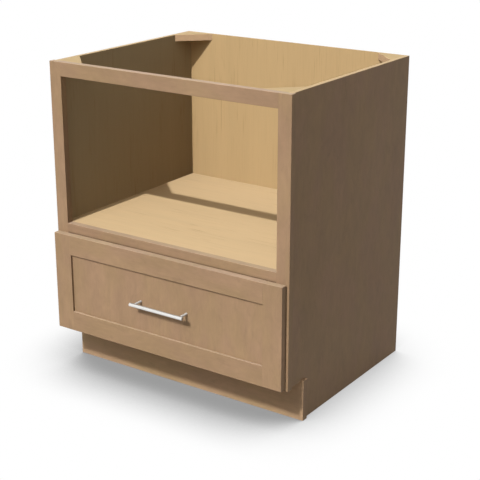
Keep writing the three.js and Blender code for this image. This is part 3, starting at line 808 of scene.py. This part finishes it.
def pull_post(name):
    """A post whose far end is coped to the bar."""
    node = f"pull_post_{name}"
    low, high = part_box(node)
    bar_low, bar_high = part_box("pull_bar")
    bar_radius = (bar_high.z - bar_low.z) / 2
    bar_y = (bar_low.y + bar_high.y) / 2
    radius = (high.x - low.x) / 2
    centre = (low + high) / 2
    length = high.y - bar_y
    profile = [
        (0, 0),
        (0, radius - POST_CHAMFER),
        (POST_CHAMFER, radius),
        (length, radius),
        (length, 0),
    ]
    start = Vector((centre.x, high.y, centre.z))
    shape = turned(profile, start, (0, -1, 0), 40)
    for vert in shape.verts:
        if vert.co.y < bar_y + POST_CHAMFER:
            rise = bar_radius ** 2 - (vert.co.z - centre.z) ** 2
            vert.co.y = bar_y + math.sqrt(rise)
    material = nickel(f"{node}_nickel", "y", POST_METALLIC)
    finished(shape, f"{node}_turned", "brushed_nickel", [material], node)


def pull():
    pull_bar()
    for name, side in SIDES:
        pull_post(name)


# ---------------------------------------------------------------- slides

STEEL_ARRIS = 0.25 * MM
STEEL_WALL = 1.2 * MM
SLOT_LENGTH = 14 * MM
SLOT_WIDTH = 4.6 * MM
SLOT_STEPS = 16
SLOT_DISH = 0.15 * MM
SLOTS = 4
SAME_LEVEL = 0.01 * MM
CAGE_ARRIS = 0.1 * MM
CAGE_WALL = 0.5 * MM
BALL_RADIUS = 1.3 * MM
BALL_COUNT = 7
BALL_CLEARANCE = 0.3 * MM
THREAD_PITCH = 1.5 * MM
HEAD_DISH = 0.06 * MM


def divided(shape, edges, cuts):
    """Cuts each edge into equal parts, and gives them all."""
    made = bmesh.ops.subdivide_edges(shape, edges=edges, cuts=cuts)
    return [part for part in made["geom_split"] if isinstance(part, bmesh.types.BMEdge)]


def cut_face(shape, level, start, end):
    """Cuts a rectangle out of the flat faces at an x level, and leaves a hole with its rim."""
    flat = [face for face in shape.faces if abs(face.calc_center_median().x - level) < SAME_LEVEL]
    for point in (start, end):
        for axis in (1, 2):
            edges = {edge for face in flat for edge in face.edges}
            verts = {vert for face in flat for vert in face.verts}
            cut = bmesh.ops.bisect_plane(
                shape,
                geom=flat + list(edges) + list(verts),
                dist=MERGE,
                plane_co=point,
                plane_no=Matrix.Identity(3)[axis],
            )
            flat = [part for part in cut["geom"] if isinstance(part, bmesh.types.BMFace)]
    middle = (start + end) / 2
    hole = min(flat, key=lambda face: (face.calc_center_median().yz - middle.yz).length)
    rim = list(hole.edges)
    bmesh.ops.delete(shape, geom=[hole], context="FACES_ONLY")
    return divided(shape, rim, SLOT_STEPS // 4 - 1)


def slot_ring(shape, centre):
    """A round-ended outline of a slot, across x."""
    turn = Matrix.Rotation(math.pi / 2, 4, "Y") @ Matrix.Rotation(math.pi / SLOT_STEPS, 4, "Z")
    place = Matrix.Translation(centre) @ turn
    ring = bmesh.ops.create_circle(shape, segments=SLOT_STEPS, radius=SLOT_WIDTH / 2, matrix=place)
    for vert in ring["verts"]:
        vert.co.y += math.copysign((SLOT_LENGTH - SLOT_WIDTH) / 2, vert.co.y - centre.y)
    return list({edge for vert in ring["verts"] for edge in vert.link_edges})


def pierce(shape, levels, centre):
    """Punches a slot with round ends through a web between two x levels, dished round its edges."""
    half = Vector((0, SLOT_LENGTH / 2 + STEEL_WALL, SLOT_WIDTH / 2 + STEEL_WALL))
    middle = sum(levels) / 2
    rings = []
    for level in levels:
        rim = cut_face(shape, level, centre - half, centre + half)
        dished = level + math.copysign(SLOT_DISH, middle - level)
        ring = slot_ring(shape, Vector((dished, centre.y, centre.z)))
        bmesh.ops.bridge_loops(shape, edges=rim + ring)
        rings += ring
    bmesh.ops.bridge_loops(shape, edges=rings)
    bmesh.ops.recalc_face_normals(shape, faces=shape.faces)


def eased(shape, node, material, arris):
    """Finishes a steel shape that stands for a node, with its edges eased."""
    mark_arrises(shape, [], arris)
    piece = finished(shape, f"{node}_steel", "zinc_steel", material, node)
    smooth_arrises(piece, arris)


def slide_member(node, web_out, material):
    """A slide's channel, with slots along its web. The web stands at the low or the high x end."""
    shape = copied(node)
    low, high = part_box(node)
    web = high.x if web_out > 0 else low.x
    for i in range(SLOTS):
        y = low.y + (high.y - low.y) * (i + 1) / (SLOTS + 1)
        pierce(shape, (web, web - web_out * STEEL_WALL), Vector((web, y, (low.z + high.z) / 2)))
    eased(shape, node, [material], STEEL_ARRIS)


def ball_cage(node, web_out, materials):
    """A bent strip, and the balls that it keeps in their two rows."""
    low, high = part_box(node)
    web, tip = (high.x, low.x) if web_out > 0 else (low.x, high.x)
    middle = (low.z + high.z) / 2
    race = high.z - middle - BALL_RADIUS
    half = race + CAGE_WALL / 2
    inside = web - web_out * CAGE_WALL
    corners = [(tip, half), (web, half), (web, -half), (tip, -half)]
    corners += [(tip, CAGE_WALL - half), (inside, CAGE_WALL - half)]
    corners += [(inside, half - CAGE_WALL), (tip, half - CAGE_WALL)]
    shape = bmesh.new()
    section = shape.faces.new([shape.verts.new((x, low.y, middle + z)) for x, z in corners])
    drawn = bmesh.ops.extrude_face_region(shape, geom=[section], use_keep_orig=True)
    far = [part for part in drawn["geom"] if isinstance(part, bmesh.types.BMVert)]
    bmesh.ops.translate(shape, verts=far, vec=(0, high.y - low.y, 0))
    bmesh.ops.recalc_face_normals(shape, faces=shape.faces)
    mark_arrises(shape, [], CAGE_ARRIS)
    strip = set(shape.faces)
    ball_x = tip + web_out * (BALL_RADIUS + BALL_CLEARANCE)
    for i in range(BALL_COUNT):
        y = low.y + (high.y - low.y) * (i + 0.5) / BALL_COUNT
        for z in (middle - race, middle + race):
            place = Matrix.Translation((ball_x, y, z))
            bmesh.ops.create_icosphere(shape, subdivisions=2, radius=BALL_RADIUS, matrix=place)
    for face in shape.faces:
        face.smooth = True
        face.material_index = face not in strip
    piece = finished(shape, f"{node}_steel", "zinc_steel", materials, node)
    smooth_arrises(piece, CAGE_ARRIS)


def cross_recess(shape, centre, way, arm, width, depth):
    """Sinks a cross into the open top of a screw's head, dished a little, and joins the two."""
    ring = [edge for edge in shape.edges if edge.is_boundary]
    out = way.orthogonal().normalized()
    turn = Matrix((out, way.cross(out), way)).transposed().to_4x4()
    grid = bmesh.ops.create_grid(shape, x_segments=3, y_segments=3, size=arm)["verts"]
    for vert in grid:
        for axis in (0, 1):
            if abs(vert.co[axis]) < arm / 2:
                vert.co[axis] = math.copysign(width / 2, vert.co[axis])
    cells = {face for vert in grid for face in vert.link_faces}
    cross = [face for face in cells if min(map(abs, face.calc_center_median().xy)) < width / 2]
    sunk = bmesh.ops.extrude_face_region(shape, geom=cross)["geom"]
    bmesh.ops.delete(shape, geom=cross, context="FACES_KEEP_BOUNDARY")
    floor = [part for part in sunk if isinstance(part, bmesh.types.BMVert)]
    bmesh.ops.scale(shape, verts=floor, vec=(0.55, 0.55, 1))
    bmesh.ops.translate(shape, verts=floor, vec=(0, 0, depth))
    dished = Matrix.Translation(centre + way * HEAD_DISH)
    bmesh.ops.transform(shape, verts=list({*grid, *floor}), matrix=dished @ turn)
    border = {edge for vert in grid for edge in vert.link_edges if edge.is_boundary}
    bmesh.ops.bridge_loops(shape, edges=ring + divided(shape, list(border), 1))


def screw(node, material):
    """A pan-head screw with a cross in its head, and its thread drawn as rings."""
    points = [vert.co for vert in frame["nodes"][node].data.vertices]
    low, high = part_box(node)
    axis = max(range(3), key=lambda i: high[i] - low[i])
    centre = (low + high) / 2
    reach = {}
    for point in points:
        away = point - centre
        away[axis] = 0
        reach[tuple(point)] = away.length
    head = max(reach.values())
    rim = [point[axis] for point, radius in reach.items() if radius > 0.99 * head]
    shank = min(radius for radius in reach.values() if radius > 0.1 * head)
    at_high = high[axis] - max(rim) < min(rim) - low[axis]
    way = Vector()
    way[axis] = -1 if at_high else 1
    start = centre.copy()
    start[axis] = high[axis] if at_high else low[axis]
    height = high[axis] - min(rim) if at_high else max(rim) - low[axis]
    length = high[axis] - low[axis]
    profile = [
        (0, 0.66 * head),
        (0.1 * height, 0.8 * head),
        (0.28 * height, 0.92 * head),
        (0.52 * height, 0.985 * head),
        (0.7 * height, head),
        (height, head),
        (height, shank),
    ]
    rings = int((length - height - 2 * shank) / THREAD_PITCH)
    for i in range(rings):
        along = height + shank / 2 + i * THREAD_PITCH
        profile += [(along, 0.75 * shank), (along + THREAD_PITCH / 2, shank)]
    profile += [(length - 1.5 * shank, 0.75 * shank), (length, 0)]
    shape = turned(profile, start, way, 24)
    cross_recess(shape, start, way, 0.46 * head, 0.22 * head, 1.3 * height)
    bmesh.ops.recalc_face_normals(shape, faces=shape.faces)
    for face in shape.faces:
        face.smooth = True
    for edge in shape.edges:
        edge.smooth = edge.calc_face_angle(0) < SHARP
    finished(shape, f"{node}_turned", "zinc_steel", [material], node)


def slides():
    strip = zinc("slide_zinc")
    bearing = polished("bearing_steel")
    thread = zinc("screw_zinc")
    for name, side in SIDES:
        slide_member(f"cabinet_member_{name}", side, strip)
        slide_member(f"middle_member_{name}", side, strip)
        slide_member(f"drawer_member_{name}", -side, strip)
        for cage in ("outer", "inner"):
            ball_cage(f"{cage}_ball_cage_{name}", side, [strip, bearing])
        eased(copied(f"rear_bracket_{name}"), f"rear_bracket_{name}", [strip], STEEL_ARRIS)
    for node in frame["nodes"]:
        if "_screw_" in node:
            screw(node, thread)


def bumper(node, material):
    """A soft clear dome that stands on the back of the drawer front."""
    low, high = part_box(node)
    centre = (low + high) / 2
    radius = (high.x - low.x) / 2
    height = high.y - low.y
    edge = 0.25 * height
    profile = [(0, 0), (0, radius - 0.1 * edge)]
    for i in range(9):
        turn = math.radians(90 * i / 8)
        profile.append((edge + (height - edge) * math.sin(turn), radius * math.cos(turn)))
    shape = turned(profile, Vector((centre.x, low.y, centre.z)), (0, 1, 0), 32)
    finished(shape, f"{node}_dome", "clear_rubber", [material], node)


def bumpers():
    material = rubber("clear_rubber")
    for node in frame["nodes"]:
        if node.startswith("bumper_"):
            bumper(node, material)


# ---------------------------------------------------------------- the whole


add_camera()
add_world()
add_floor()
face_frame()
carcase()
drawer_front()
drawer_box()
pull()
slides()
bumpers()
made = {thing.name: thing for thing in bpy.data.objects if thing.type == "MESH"}
del made["floor"]
add_suns(made.values(), made["toe_board_board"], made["front_panel_board"])
bpy.context.scene.view_settings.view_transform = "Standard"
